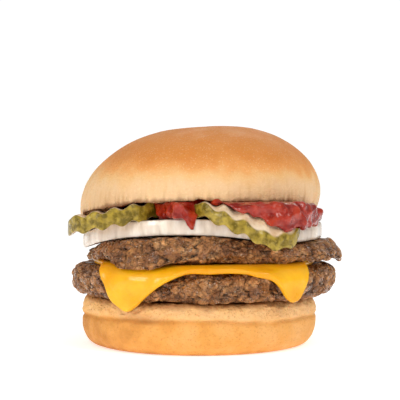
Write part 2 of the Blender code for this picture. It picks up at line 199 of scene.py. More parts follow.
def onion_top(x, y):
    """The onion's upper face, carried on past its rim as a falling parabola."""
    radius, azimuth = polar(x, y, ONION_CENTRE)
    held = np.minimum(radius, ONION_RADIUS)
    x_held, y_held = place(held, azimuth, ONION_CENTRE)
    face = upper_patty_top(x_held, y_held) + CURVED_GAP + ONION_THICKNESS
    return face - ONION_DROOP * (radius - held) ** 2


def chip_height(name, x, y):
    """Middle of a chip without its crinkle: a tilted plane, less a sag past the onion's edge.

    The sag grows with the distance squared, and faster towards the chip's right end.
    """
    centre, _, height, slope_right, slope_back, sag = CHIPS[name]
    along = x - centre[0]
    beyond = np.clip(np.hypot(x - ONION_CENTRE[0], y) - ONION_RADIUS, 0, None)
    sag = sag * (1 + CHIP_TWIST * np.clip(along, 0, None))
    return height + slope_right * along + slope_back * (y - centre[1]) - sag * beyond ** 2


def over_chips(x, y, names, clear, steepness):
    """Height that clears the chips: their tops, falling steeply away outside their outlines."""
    height = np.full(np.shape(x), -1.0)
    for name in names:
        centre, radius, *_ = CHIPS[name]
        outside = np.clip(np.hypot(x - centre[0], y - centre[1]) - radius - clear, 0, None)
        top = chip_height(name, x, y) + CHIP_THICKNESS / 2 + CHIP_WAVE_RISE + clear
        height = np.maximum(height, top - steepness * outside)
    return height


def crown_bottom(x, y):
    """The crown's cut face: it bends from its middle to its rim as the radius cubed, or clears a chip."""
    radius, azimuth = polar(x, y, CROWN_CENTRE)
    face = CROWN_MIDDLE + (crown_rim(azimuth) - CROWN_MIDDLE) * (radius / BUN_RADIUS) ** CROWN_CURL
    return np.maximum(face, over_chips(x, y, CHIPS, clear=GAP, steepness=1.6))


def cheese_reach(azimuth):
    """Length of the slice along what it lies on: the rim plus four humps, the hanging corners."""
    reach = lower_outline(azimuth) + cheese_beyond_rim(azimuth)
    for middle, length, before, after in CHEESE_CORNERS:
        later = (azimuth - np.radians(middle) + np.pi) % (2 * np.pi) > np.pi
        corner = np.where(later, bump_at(azimuth, middle, *after), bump_at(azimuth, middle, *before))
        reach = reach + length * corner
    return reach


def lying_surface(x, y):
    """Top of the cheese on the lower patty, a quarter circle down where it turns over the edge.

    Past the slice's own edge it is the lower patty's top, which is a slice's thickness lower.
    """
    radius, azimuth = polar(x, y, LOWER_CENTRE)
    past = np.clip(radius - (lower_outline(azimuth) - CHEESE_TURNS), 0, None)
    outer = CHEESE_BEND + CHEESE_THICKNESS / 2
    fall = outer - np.sqrt(np.clip(outer ** 2 - past ** 2, 0, None))
    bare = eased(radius - cheese_reach(azimuth), *CHEESE_STEP)
    top = CHEESE_MIDDLE + CHEESE_THICKNESS / 2 - bare * CHEESE_THICKNESS
    return np.where(past > outer, 0.0, top - fall)


# Noise

def lattice(cell, salt):
    """A repeatable value from 0 to 1 for each whole-number cell: large multiples added, bits mixed."""
    mixed = cell[..., 0] * 374761393 + cell[..., 1] * 668265263 + cell[..., 2] * 1440662683
    mixed = (mixed + salt * 974711) & 0xFFFFFFFF
    mixed = ((mixed ^ (mixed >> 13)) * 1274126177) & 0xFFFFFFFF
    return ((mixed ^ (mixed >> 16)) & 0xFFFFFF) / 0xFFFFFF


def waves_of(points, size, salt):
    """Gradient noise, about -1 to 1: slopes at the corners of a cube, blended by a quintic step."""
    spot = points / size
    cell = np.floor(spot).astype(np.int64)
    inside = spot - cell
    blend = inside ** 3 * (inside * (inside * 6 - 15) + 10)
    total = np.zeros(points.shape[:-1])
    for corner in np.ndindex(2, 2, 2):
        step = np.array(corner)
        slope = np.stack([lattice(cell + step, salt + 7 * axis) * 2 - 1 for axis in range(3)], axis=-1)
        weight = np.prod(np.where(step == 1, blend, 1 - blend), axis=-1)
        total += weight * np.sum(slope * (inside - step), axis=-1)
    return total * 1.6


def layered(points, size, octaves, salt):
    """Noise at halving sizes and heights, added."""
    return sum(waves_of(points, size / 2 ** k, salt + 31 * k) / 2 ** k for k in range(octaves))


def cells_of(points, size, salt):
    """Distances to the two nearest of points scattered one to a cell, and the nearest one's value."""
    spot = points / size
    cell = np.floor(spot).astype(np.int64)
    first = np.full(points.shape[:-1], 9.0)
    second = first.copy()
    value = np.zeros(points.shape[:-1])
    for corner in np.ndindex(3, 3, 3):
        other = cell + np.array(corner) - 1
        seed = other + np.stack([lattice(other, salt + 5 * axis) for axis in range(3)], axis=-1)
        away = np.linalg.norm(seed - spot, axis=-1)
        nearer = away < first
        second = np.where(nearer, first, np.minimum(second, away))
        value = np.where(nearer, lattice(other, salt + 77), value)
        first = np.where(nearer, away, first)
    return first, second, value


# Grids and meshes

def disc_rows(flat, wall, edge, fullness):
    """Rings and levels of a unit disc: a flat top, a superellipse edge, a flat bottom.

    Rings are spaced closer together towards the edge. Level is 1 on top and -1 below.
    """
    share = np.linspace(0, 1, flat + 1)[:-1]
    face = (1 - edge) * (1 - (1 - share) ** 1.6)
    turn = np.linspace(0, np.pi, wall)
    ring = np.concatenate([face, 1 - edge + edge * np.sin(turn) ** (2 / fullness), face[::-1]])
    nose = np.sign(np.cos(turn)) * np.abs(np.cos(turn)) ** (2 / fullness)
    return ring, np.concatenate([np.ones(flat), nose, -np.ones(flat)])


def spread(ring, level, columns):
    """A row's ring and level, and every column's azimuth, as grids."""
    azimuth = np.linspace(0, 2 * np.pi, columns, endpoint=False)
    shape = (len(ring), columns)
    return (np.broadcast_to(ring[:, None], shape), np.broadcast_to(azimuth, shape),
            np.broadcast_to(level[:, None], shape))


def outward(points):
    """Unit normals of a grid: the cross product of its steps down the rows and along the columns."""
    down = np.gradient(points, axis=0)
    along = np.roll(points, -1, axis=1) - np.roll(points, 1, axis=1)
    normal = np.cross(down, along)
    normal[0], normal[-1] = (0, 0, 1), (0, 0, -1)
    return normal / np.maximum(np.linalg.norm(normal, axis=-1, keepdims=True), 1e-12)


def lifted(points, relief):
    """Points moved out along the surface's normals by a relief in millimetres."""
    return points + outward(points) * (relief * MM)[..., None]


def rim_spots(azimuth, radius):
    """Points on a level circle, one for each azimuth, where noise along a rim is read."""
    return np.stack([np.sin(azimuth), np.cos(azimuth), 0 * azimuth], axis=-1) * radius


def closed_piece(name, points, looks, node, masks):
    """A piece from a grid whose first and last rows are poles, with its masks as attributes."""
    points = points + STACK_ORIGIN
    rows, columns, _ = points.shape
    vertices = np.concatenate([points[:1, 0], points[1:-1].reshape(-1, 3), points[-1:, 0]])
    index = 1 + np.arange((rows - 2) * columns).reshape(rows - 2, columns)
    beside = np.roll(index, -1, axis=1)
    last = len(vertices) - 1
    top = np.stack([np.zeros(columns, int), index[0], beside[0]], axis=1)
    middle = np.stack([index[:-1], index[1:], beside[1:], beside[:-1]], axis=-1).reshape(-1, 4)
    bottom = np.stack([index[-1], np.full(columns, last), beside[-1]], axis=1)
    corners = np.concatenate([top.ravel(), middle.ravel(), bottom.ravel()])
    sizes = np.concatenate([np.full(columns, 3), np.full(len(middle), 4), np.full(columns, 3)])
    mesh = bpy.data.meshes.new(name)
    mesh.vertices.add(len(vertices))
    mesh.vertices.foreach_set("co", vertices.ravel())
    mesh.loops.add(len(corners))
    mesh.loops.foreach_set("vertex_index", corners)
    mesh.polygons.add(len(sizes))
    mesh.polygons.foreach_set("loop_start", np.concatenate([[0], np.cumsum(sizes)[:-1]]))
    mesh.update(calc_edges=True)
    mesh.validate()
    for mask, values in masks.items():
        values = np.broadcast_to(values, (rows, columns))
        flat = np.concatenate([values[:1, 0], values[1:-1].ravel(), values[-1:, 0]])
        mesh.attributes.new(mask, "FLOAT", "POINT").data.foreach_set("value", flat.astype(np.float32))
    mesh.shade_smooth()
    mesh.materials.append(looks)
    made = bpy.data.objects.new(name, mesh)
    bpy.context.scene.collection.objects.link(made)
    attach(made, "root")
    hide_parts(node)
    return made


# Shader parts

def add(tree, kind, inputs=None, **settings):
    """A shader node with its settings and inputs: each input is a value or another node's output."""
    node = tree.nodes.new(kind)
    for key, value in settings.items():
        setattr(node, key, value)
    for key, value in (inputs or {}).items():
        if isinstance(value, bpy.types.NodeSocket):
            tree.links.new(value, node.inputs[key])
        else:
            node.inputs[key].default_value = value
    return node


def mask_group(name, **values):
    """An empty node group: a place and some values in, one mask out."""
    group = bpy.data.node_groups.new(name, "ShaderNodeTree")
    group.interface.new_socket("Vector", in_out="INPUT", socket_type="NodeSocketVector")
    for label, default in values.items():
        socket = group.interface.new_socket(label, in_out="INPUT", socket_type="NodeSocketFloat")
        socket.default_value = default
    group.interface.new_socket("Mask", in_out="OUTPUT", socket_type="NodeSocketFloat")
    return group, group.nodes.new("NodeGroupInput").outputs, group.nodes.new("NodeGroupOutput").inputs


def mottle_group():
    """Cloudy patches: noise at a size in metres, sharpened between two levels."""
    group, given, out = mask_group("mottle", Size=0.004, Detail=3.0, Low=0.4, High=0.6)
    scale = add(group, "ShaderNodeMath", {0: 1.0, 1: given["Size"]}, operation="DIVIDE").outputs[0]
    noise = add(group, "ShaderNodeTexNoise",
                {"Vector": given["Vector"], "Scale": scale, "Detail": given["Detail"]}).outputs["Fac"]
    cloud = add(group, "ShaderNodeMapRange",
                {"Value": noise, "From Min": given["Low"], "From Max": given["High"]},
                interpolation_type="SMOOTHSTEP").outputs["Result"]
    group.links.new(cloud, out["Mask"])
    return group


def pores_group():
    """Small round pits: how near each point is to a scattered centre, at a size in metres."""
    group, given, out = mask_group("pores", Size=0.001, Width=0.35)
    scale = add(group, "ShaderNodeMath", {0: 1.0, 1: given["Size"]}, operation="DIVIDE").outputs[0]
    away = add(group, "ShaderNodeTexVoronoi",
               {"Vector": given["Vector"], "Scale": scale}).outputs["Distance"]
    near = add(group, "ShaderNodeMapRange",
               {"Value": away, "From Min": given["Width"], "From Max": 0.0},
               interpolation_type="SMOOTHSTEP").outputs["Result"]
    group.links.new(near, out["Mask"])
    return group


class Finish:
    """A material being built: its tree, its Principled shader, and short ways to add to it."""

    def __init__(self, name, **fixed):
        """A new material, with the shader's constant values given by name."""
        self.material = bpy.data.materials.new(name)
        self.material.use_nodes = True
        self.tree = self.material.node_tree
        self.shader = self.tree.nodes["Principled BSDF"]
        self.spot = add(self.tree, "ShaderNodeTexCoord").outputs["Object"]
        self.depth = None
        for label, value in fixed.items():
            self.shader.inputs[label.replace("_", " ")].default_value = value

    def mask(self, name):
        """A mask that the mesh carries."""
        return add(self.tree, "ShaderNodeAttribute", attribute_name=name).outputs["Fac"]

    def grouped(self, group, **values):
        """The mask put out by a shared group."""
        inputs = {"Vector": self.spot, **values}
        return add(self.tree, "ShaderNodeGroup", inputs, node_tree=group).outputs["Mask"]

    def math(self, operation, first, second=0.0, limit=False):
        """One sum of two values."""
        return add(self.tree, "ShaderNodeMath", {0: first, 1: second},
                   operation=operation, use_clamp=limit).outputs[0]

    def mix(self, share, under, over):
        """Two colours mixed by a share from 0 to 1."""
        def opaque(colour):
            return colour if isinstance(colour, bpy.types.NodeSocket) else (*colour, 1.0)

        inputs = {0: share, 6: opaque(under), 7: opaque(over)}
        return add(self.tree, "ShaderNodeMix", inputs, data_type="RGBA").outputs[2]

    def laid(self, base, colour, mask, strength):
        """A colour laid over another where a mask is, at a strength from 0 to 1."""
        return self.mix(self.math("MULTIPLY", mask, strength), base, colour)

    def ramp(self, share, stops):
        """A colour for each share from 0 to 1."""
        node = add(self.tree, "ShaderNodeValToRGB", {"Fac": share})
        bands = node.color_ramp.elements
        while len(bands) < len(stops):
            bands.new(0.5)
        for band, (position, colour) in zip(bands, stops):
            band.position = position
            band.color = (*colour, 1.0)
        return node.outputs["Color"]

    def span(self, value, low, high):
        """A value from 0 to 1 stretched to run from low to high."""
        inputs = {"Value": value, "To Min": low, "To Max": high}
        return add(self.tree, "ShaderNodeMapRange", inputs).outputs["Result"]

    def colour(self, output):
        """Sets the base colour."""
        self.tree.links.new(output, self.shader.inputs["Base Color"])

    def rough(self, output):
        """Sets the roughness."""
        self.tree.links.new(output, self.shader.inputs["Roughness"])

    def wet(self, output):
        """Sets how much of the surface has a clear wet film."""
        self.tree.links.new(output, self.shader.inputs["Coat Weight"])

    def raised(self, height, distance, strength=1.0):
        """Adds fine relief, on top of any relief added before."""
        inputs = {"Height": height, "Distance": distance, "Strength": strength}
        if self.depth is not None:
            inputs["Normal"] = self.depth
        self.depth = add(self.tree, "ShaderNodeBump", inputs).outputs["Normal"]
        self.tree.links.new(self.depth, self.shader.inputs["Normal"])


# Materials

def crown_bread(mottle, pores):
    """Soft baked bread: a browned cap that fades to a pale flank, with stain and painted shade at the rim.
    """
    look = Finish("crown_bread", Subsurface_Weight=0.12, Subsurface_Scale=0.004, Specular_IOR_Level=0.18)
    cloud = look.grouped(mottle, Size=0.009, Detail=4.0, Low=0.3, High=0.7)
    patch = look.span(cloud, -0.09, 0.09)
    brown = look.math("ADD", look.mask("golden"), patch, True)
    base = look.ramp(brown, [
        (0.0, (0.80, 0.53, 0.29)), (0.30, (0.80, 0.48, 0.21)),
        (0.62, (0.77, 0.34, 0.10)), (1.0, (0.68, 0.25, 0.055)),
    ])
    base = look.laid(base, (0.60, 0.28, 0.08), look.mask("streak"), 0.45)
    # Stain and painted shade at the rim: ketchup soaked in, and the shade under the flank's curl.
    base = look.mix(look.mask("stain"), base, (0.16, 0.045, 0.012))
    speck = look.grouped(pores, Size=0.0010, Width=0.40)
    base = look.laid(base, (0.93, 0.70, 0.42), speck, 0.34)
    look.colour(base)
    look.rough(look.span(cloud, 0.46, 0.60))
    look.raised(look.grouped(mottle, Size=0.0010, Detail=5.0, Low=0.25, High=0.75), 0.0003, 0.7)
    look.raised(speck, 0.00008, 0.5)
    return look.material


def heel_bread(mottle, pores):
    """The bottom bun: a porous golden side under a paler, rougher flank, with toast and painted shadow
    atop.
    """
    look = Finish("heel_bread", Subsurface_Weight=0.12, Subsurface_Scale=0.004, Specular_IOR_Level=0.18)
    cloud = look.grouped(mottle, Size=0.007, Detail=5.0, Low=0.3, High=0.7)
    # The golden mask also carries a painted side shade: browner to the left, paler to the right.
    brown = look.math("ADD", look.mask("golden"), look.span(cloud, -0.09, 0.09), True)
    base = look.ramp(brown, [
        (0.0, (0.88, 0.53, 0.24)), (0.35, (0.88, 0.48, 0.17)),
        (0.70, (0.80, 0.37, 0.085)), (1.0, (0.56, 0.225, 0.045)),
    ])
    # Stain and painted shade: painted shadow and toast under the patty, painted shade in the crease.
    base = look.mix(look.mask("stain"), base, (0.30, 0.10, 0.025))
    pit = look.grouped(pores, Size=0.0011, Width=0.45)
    base = look.laid(base, (0.60, 0.25, 0.05), pit, 0.42)
    look.colour(base)
    look.rough(look.span(cloud, 0.5, 0.68))
    look.raised(look.grouped(mottle, Size=0.0012, Detail=5.0, Low=0.25, High=0.75), 0.0003, 0.8)
    look.raised(look.math("SUBTRACT", 1.0, pit), 0.00025, 0.7)
    return look.material


def cooked_beef(mottle, pores):
    """Seared ground beef: warm brown and greyish pink crumbs, painted gap shade and glints, a film of fat.
    """
    look = Finish("cooked_beef", Subsurface_Weight=0.05, Subsurface_Scale=0.002, Coat_Roughness=0.09,
                  Specular_IOR_Level=0.75, Specular_Tint=(1.0, 0.86, 0.70, 1.0))
    crumb = look.mask("crumb")
    cloud = look.grouped(mottle, Size=0.006, Detail=5.0, Low=0.32, High=0.68)
    tone = look.math("ADD", look.math("MULTIPLY", crumb, 0.6), look.math("MULTIPLY", cloud, 0.4))
    film = look.grouped(mottle, Size=0.0035, Detail=4.0, Low=0.44, High=0.58)
    base = look.ramp(tone, [
        (0.0, (0.080, 0.023, 0.006)), (0.30, (0.26, 0.090, 0.023)),
        (0.60, (0.52, 0.215, 0.060)), (1.0, (0.82, 0.44, 0.18)),
    ])
    fine = look.grouped(mottle, Size=0.0016, Detail=4.0, Low=0.35, High=0.65)
    base = look.laid(base, (0.13, 0.045, 0.014), fine, 0.40)
    # Painted shade: near black in the gaps and low clefts between crumbs.
    base = look.mix(look.mask("gap"), base, (0.022, 0.007, 0.003))
    char = look.grouped(pores, Size=0.0034, Width=0.26)
    base = look.laid(base, (0.050, 0.016, 0.006), char, 0.80)
    # Painted glints: pale specks where the fat film lies, standing in for highlights.
    fat = look.grouped(pores, Size=0.0021, Width=0.25)
    base = look.mix(look.math("MULTIPLY", fat, look.math("MULTIPLY", film, 0.85)), base, (0.88, 0.72, 0.55))
    look.colour(base)
    look.rough(look.span(film, 0.60, 0.14))
    open_face = look.math("SUBTRACT", 1.0, look.mask("gap"), True)
    look.wet(look.math("MULTIPLY", film, look.math("MULTIPLY", open_face, 0.45)))
    look.raised(fine, 0.0010, 0.9)
    look.raised(look.grouped(pores, Size=0.0016, Width=0.6), 0.0006, 0.8)
    return look.material


def melted_cheese(mottle):
    """Smooth melted cheese: saturated yellow, a little deeper in patches and in painted shade, with a soft
    gloss.
    """
    look = Finish("melted_cheese", Subsurface_Weight=0.25, Subsurface_Scale=0.002,
                  Specular_IOR_Level=0.2, Coat_Roughness=0.14,
                  Subsurface_Radius=(1.0, 0.55, 0.12))
    cloud = look.grouped(mottle, Size=0.012, Detail=3.0, Low=0.3, High=0.7)
    base = look.mix(cloud, (0.80, 0.35, 0.003), (0.90, 0.47, 0.005))
    # Painted shade: deeper amber on the part lying under the upper patty.
    base = look.mix(look.mask("fold"), base, (0.74, 0.28, 0.004))
    look.colour(base)
    look.rough(look.span(cloud, 0.26, 0.38))
    look.wet(look.span(cloud, 0.2, 0.5))
    look.raised(look.grouped(mottle, Size=0.002, Detail=3.0, Low=0.2, High=0.8), 0.0001, 0.4)
    return look.material


def raw_onion(mottle):
    """Wet raw onion: clear, pinkish white, with faint upright threads in its wall."""
    look = Finish("raw_onion", Subsurface_Weight=0.5, Subsurface_Scale=0.004, Specular_IOR_Level=0.5,
                  Coat_Roughness=0.1,
                  Subsurface_Radius=(1.0, 0.8, 0.7))
    thread = look.mask("thread")
    cloud = look.grouped(mottle, Size=0.008, Detail=3.0, Low=0.3, High=0.7)
    base = look.mix(cloud, (0.86, 0.73, 0.59), (0.90, 0.81, 0.72))
    base = look.laid(base, (0.50, 0.38, 0.27), thread, 0.85)
    base = look.mix(look.mask("groove"), base, (0.66, 0.52, 0.42))
    look.colour(base)
    look.rough(look.span(thread, 0.22, 0.38))
    look.wet(look.span(cloud, 0.4, 0.8))
    look.raised(thread, 0.0002, 0.5)
    return look.material


def crinkled_pickle(mottle, pores):
    """A wet pickle chip: olive skin round its edge, pale cream flesh on its faces."""
    look = Finish("crinkled_pickle", Subsurface_Weight=0.1, Subsurface_Scale=0.002, Coat_Roughness=0.12,
                  Specular_IOR_Level=0.25,
                  Subsurface_Radius=(1.0, 0.8, 0.3))
    patch = look.grouped(mottle, Size=0.0024, Detail=5.0, Low=0.30, High=0.70)
    skin = look.ramp(patch, [
        (0.0, (0.13, 0.090, 0.006)), (0.45, (0.25, 0.170, 0.011)), (1.0, (0.42, 0.295, 0.026)),
    ])
    dots = look.grouped(pores, Size=0.0014, Width=0.3)
    skin = look.laid(skin, (0.58, 0.42, 0.11), dots, 0.5)
    flesh = look.mix(look.grouped(mottle, Size=0.005, Detail=3.0, Low=0.35, High=0.65),
                     (0.68, 0.47, 0.27), (0.82, 0.66, 0.47))
    look.colour(look.mix(look.mask("skin"), flesh, skin))
    look.rough(look.span(patch, 0.22, 0.42))
    look.wet(look.span(patch, 0.05, 0.5))
    look.raised(patch, 0.0004, 0.6)
    look.raised(dots, 0.0001, 0.6)
    return look.material


def thick_ketchup(mottle):
    """Glossy ketchup: deep red where thick, a brighter orange red painted as light on its crests."""
    look = Finish("thick_ketchup", Subsurface_Weight=0.15, Subsurface_Scale=0.0015, Coat_Roughness=0.07,
                  Specular_IOR_Level=0.18,
                  Subsurface_Radius=(1.0, 0.2, 0.1))
    cloud = look.grouped(mottle, Size=0.004, Detail=4.0, Low=0.35, High=0.65)
    base = look.mix(cloud, (0.20, 0.006, 0.002), (0.37, 0.020, 0.005))
    # Painted light: brighter orange red on the crests of its lumps.
    look.colour(look.mix(look.mask("crest"), base, (0.48, 0.042, 0.010)))
    look.rough(look.span(cloud, 0.14, 0.3))
    look.wet(look.span(cloud, 0.1, 0.8))
    look.raised(look.grouped(mottle, Size=0.0012, Detail=4.0, Low=0.3, High=0.7), 0.0002, 0.6)
    return look.material


# Pieces

def crown(looks):
    """The top bun, in four runs of rows about an upright axis.

    The dome is a superellipse: ring is the sine and level the cosine of a quarter turn, both to the
    power of two over its fullness. The flank goes down from it and draws in as depth squared. A short
    quarter turn rounds it over into the cut face, which follows crown_bottom. The widest level is a
    tilted plane. Upright folds, small dimples and slow swells are added along the normals.
    """
    turn = np.linspace(0, np.pi / 2, 130)
    rounding = np.linspace(0, 1, 14)
    inwards = np.linspace(0, 1, 40)
    ring = np.concatenate([
        np.sin(turn) ** (2 / CROWN_FULLNESS), np.ones(34),
        1 - 0.042 * rounding ** 2, 0.955 * (1 - inwards ** 1.3),
    ])
    level = np.concatenate([
        np.cos(turn) ** (2 / CROWN_FULLNESS), -np.linspace(0.02, 0.80, 34),
        -0.82 - 0.18 * np.sin(rounding * np.pi / 2), -np.ones(40),
    ])
    ring, azimuth, level = spread(ring, level, 420)
    x, y = place(ring * BUN_RADIUS, azimuth, CROWN_CENTRE)
    widest = CROWN_WIDEST + CROWN_ROLL * x - CROWN_PITCH * y
    rim_spot = rim_spots(azimuth, BUN_RADIUS)
    ragged = (0.5 * waves_of(rim_spot, 7 * MM, 3) + 0.35 * waves_of(rim_spot, 2.6 * MM, 4)) * MM
    bottom = crown_bottom(x, y) + ragged * eased(ring, 0.85, 0.95)
    z = np.where(level >= 0, widest + level * CROWN_RISE, widest + level * (widest - bottom))
    depth = np.clip(widest - z, 0, None) * (ring > FLANK_FROM)
    x, y = place(ring * (BUN_RADIUS - FLANK_DRAW * depth ** 2), azimuth, CROWN_CENTRE)
    points = np.stack([x, y, z], axis=-1)

    flank = eased(-z, -76 * MM, -62 * MM) * eased(level, -0.99, -0.9)
    upright = points * np.array([1, 1, 0.16])
    folds = waves_of(upright, 2.4 * MM, 11) + 0.6 * waves_of(upright, 1.2 * MM, 12)
    streaks = waves_of(upright, 1.5 * MM, 13)
    relief = 0.45 * waves_of(points, 26 * MM, 14) + 0.12 * waves_of(points, 8 * MM, 15)
    near, _, value = cells_of(points * np.array([1, 1, 0.45]), 4.2 * MM, 19)
    dimple = eased(near, 0.30, 0.0) * (value > 0.62) * flank
    relief = relief + flank * 0.20 * folds + 0.04 * layered(points, 1.6 * MM, 2, 16) - 0.45 * dimple
    points = lifted(points, relief)

    edge_height = 71.5 * MM + 1.5 * MM * np.cos(azimuth)
    wander = 2.6 * waves_of(points, 16 * MM, 17) + 1.2 * waves_of(points, 5 * MM, 20)
    edge_height = edge_height + wander * MM
    golden = eased(z, edge_height - 7 * MM, edge_height + 9 * MM)
    above_rim = z - crown_bottom(x, y)
    # Stain and painted shade: near black at the rim, part ketchup soak, part painted shade under the
    # flank's curl.
    stain_reach = (2.2 + 1.6 * streaks + 1.2 * waves_of(points, 9 * MM, 18)) * MM
    stain = (1 - eased(above_rim, 0, np.maximum(stain_reach, 0.5 * MM))) * 0.85
    # Streaky stain and painted shade reach a little higher up the curl.
    baked = 0.30 * np.clip(0.4 + streaks, 0, 1) * (1 - eased(above_rim, 0, 5.5 * MM))
    stain = np.maximum(stain, baked)
    # The cut face is darkened by a quarter.
    masks = {"golden": golden, "stain": np.where(level <= -0.99, 0.25, stain),
             "streak": np.clip(streaks, 0, 1) * flank}
    return closed_piece("crown_of_bun", points, looks, "bun_crown", masks)


def heel(looks):
    """The bottom bun, in four runs of rows about an upright axis.

    The top is dished as the fourth power of the radius. The shoulder is a quarter ellipse from its rim
    down to the crease, where the bun is widest, and the base a fuller one from there to the foot: sine
    and cosine to the fullness. Across the crease runs a groove, a bell curve of height, and noise
    roughens the shoulder more than the base.
    """
    inner = np.linspace(0, 1, 30)[:-1]
    shoulder = np.linspace(0, np.pi / 2, 56)
    base = np.linspace(np.pi / 2, 0, 76)[1:]
    under = np.linspace(1, 0, 20)[1:]
    radius = np.concatenate([
        HEEL_RIM * (1 - (1 - inner) ** 1.4),
        HEEL_RIM + (HEEL_RADIUS - HEEL_RIM) * np.sin(shoulder),
        HEEL_FOOT + (HEEL_RADIUS - HEEL_FOOT) * np.sin(base) ** HEEL_FULLNESS,
        HEEL_FOOT * under,
    ])
    height = np.concatenate([
        HEEL_HEIGHT - HEEL_DISH * (1 - inner ** 4),
        HEEL_CREASE + (HEEL_HEIGHT - HEEL_CREASE) * np.cos(shoulder),
        HEEL_CREASE - HEEL_CREASE * np.cos(base) ** HEEL_FULLNESS,
        0 * under,
    ])
    radius, azimuth, z = spread(radius, height, 560)
    side = eased(z, 0, 1.2 * MM) * eased(radius, 30 * MM, 44 * MM)
    radius = radius * (1 + HEEL_OVAL * np.sin(2 * azimuth + HEEL_OVAL_TURN) * eased(z, 0, HEEL_CREASE))
    x, y = place(radius, azimuth, HEEL_CENTRE)
    points = np.stack([x, y, z], axis=-1)
    wander = 0.7 * np.sin(azimuth * 2 + 2.0) + 0.9 * waves_of(points * [1, 1, 0], 12 * MM, 21)
    crease_at = HEEL_CREASE + wander * MM
    groove = np.exp(-((z - crease_at) / (0.8 * MM)) ** 2)
    upper = eased(z, crease_at - 0.5 * MM, crease_at + 2.0 * MM)
    first, _, value = cells_of(points, 1.7 * MM, 22)
    pits = eased(first, 0.45, 0.0) * (value > 0.45)
    rough = layered(points, 2.2 * MM, 3, 23)
    relief = 0.35 * waves_of(points, 22 * MM, 24) + 0.10 * waves_of(points, 6 * MM, 25)
    relief = relief - 0.8 * groove + rough * (0.09 + 0.34 * upper) - 0.3 * pits
    points = lifted(points, relief * side)
    # Painted shade: browner towards the left side and paler towards the right, as the lamps fall.
    darker = 0.24 * eased(-x, 5 * MM, 45 * MM) - 0.10 * eased(x, 10 * MM, 45 * MM)
    golden = (0.64 + darker + 0.08 * waves_of(points, 10 * MM, 26)) * (1 - upper)
    golden = golden + (0.12 + darker * 0.6) * upper + 0.25 * (1 - eased(z, 0, 3 * MM))
    # Painted shadow under the patty, with some toasting, darkens the top few millimetres.
    toasted = (3.2 + 1.6 * waves_of(points, 6 * MM, 27)) * MM
    stain = 0.75 * (1 - eased(HEEL_HEIGHT - z, 0.3 * MM, toasted))
    # A darker patch just above the crease, to the front left.
    stain = stain + 0.5 * bump_at(azimuth, -28, 10) * np.exp(-((z - 14.5 * MM) / (2.0 * MM)) ** 2)
    # Painted shade in the crease.
    stain = stain + 0.30 * groove * np.clip(0.6 + waves_of(points, 9 * MM, 28), 0, 1)
    masks = {"golden": golden, "stain": np.clip(stain, 0, 1)}
    return closed_piece("heel_of_bun", points, looks, "bun_heel", masks)


def ground_beef(points, rim, salt):
    """Relief of coarse minced meat, in millimetres, with its crumb tone and a mask of painted shade.

    It adds slow lumps, warped cells that stand up as rounded crumbs (the root of one less distance
    squared), and smaller ones on them. It takes off clefts, where a noise crosses zero, and gaps, where
    two cells are equally near. The rim, a share from 0 to 1, says where the full relief is.
    """
    warp = np.stack([waves_of(points, 3.5 * MM, salt + axis) for axis in range(3)], axis=-1) * 1.2 * MM
    big, big_next, value = cells_of(points + warp, 4.0 * MM, salt + 10)
    small, _, small_value = cells_of(points - warp, 1.9 * MM, salt + 20)
    lump = waves_of(points, 10 * MM, salt + 30)
    cleft = 1 - eased(np.abs(waves_of(points + warp, 6.5 * MM, salt + 40)), 0.0, 0.16)
    crumb = np.sqrt(np.clip(1 - big ** 2, 0, 1)) + 0.6 * (value - 0.5)
    grain = np.sqrt(np.clip(1 - small ** 2, 0, 1))
    gap = (1 - eased(big_next - big, 0.0, 0.16)) * (value > 0.3)
    relief = 1.5 * lump + 0.95 * (crumb - 0.6) + 0.5 * (grain - 0.6) - 0.9 * cleft - 0.40 * gap
    relief = np.where(rim > 0.5, relief, np.minimum(relief, 0.3)) * (0.35 + 0.65 * rim)
    # Painted shade: dark in the gaps between crumbs and in clefts that lie low.
    shade = np.clip(0.55 * gap + 0.65 * cleft * eased(-lump, -0.3, 0.3), 0, 1)
    # Tone is random per crumb, and also lighter on raised lumps and darker on sunken ones, which is painted
    # shade.
    tone = np.clip(0.5 * value + 0.3 * small_value + 0.35 * lump + 0.1, 0, 1)
    return relief, tone, shade


def patty(name, node, looks, centre, outline, faces, salt):
    """A patty: a disc with a superellipse edge, stretched to an outline by azimuth.

    Height is the mean of the two faces plus level times half their difference. The relief of minced
    meat is added along the normals, and the rim set in so that it stays within the solid.
    """
    ring, level = disc_rows(22, 78, 0.115, 2.6)
    ring, azimuth, level = spread(ring, level, 760)
    x, y = place(ring * outline(azimuth), azimuth, centre)
    top, bottom = faces(ring, azimuth, x, y)
    points = np.stack([x, y, (top + bottom + level * (top - bottom)) / 2], axis=-1)
    relief, tone, shade = ground_beef(points, eased(ring, 0.84, 0.93), salt)
    points = lifted(points, relief - 0.15 - 0.95 * eased(ring, 0.88, 0.96))
    return closed_piece(name, points, looks, node, {"crumb": tone, "gap": shade})


def lower_faces(*_):
    """Top and bottom of the lower patty: level everywhere."""
    return LOWER_TOP, LOWER_BOTTOM


def upper_faces(ring, azimuth, x, y):
    """Top and bottom of the upper patty.

    The top is the surface under the onion, less part of the lip's hang. The bottom is level, less the
    hang, which eases in towards the rim, and never lower than a gap above what it lies on.
    """
    hang = upper_lip(azimuth) * eased(ring, LIP_BEGINS, 1.0)
    top = upper_patty_top(x, y) - LIP_FOLLOWED * np.clip(hang, 0, None)
    bottom = np.maximum(UPPER_BOTTOM - hang, lying_surface(x, y) + GAP)
    return np.maximum(top, bottom + UPPER_LEAST), bottom


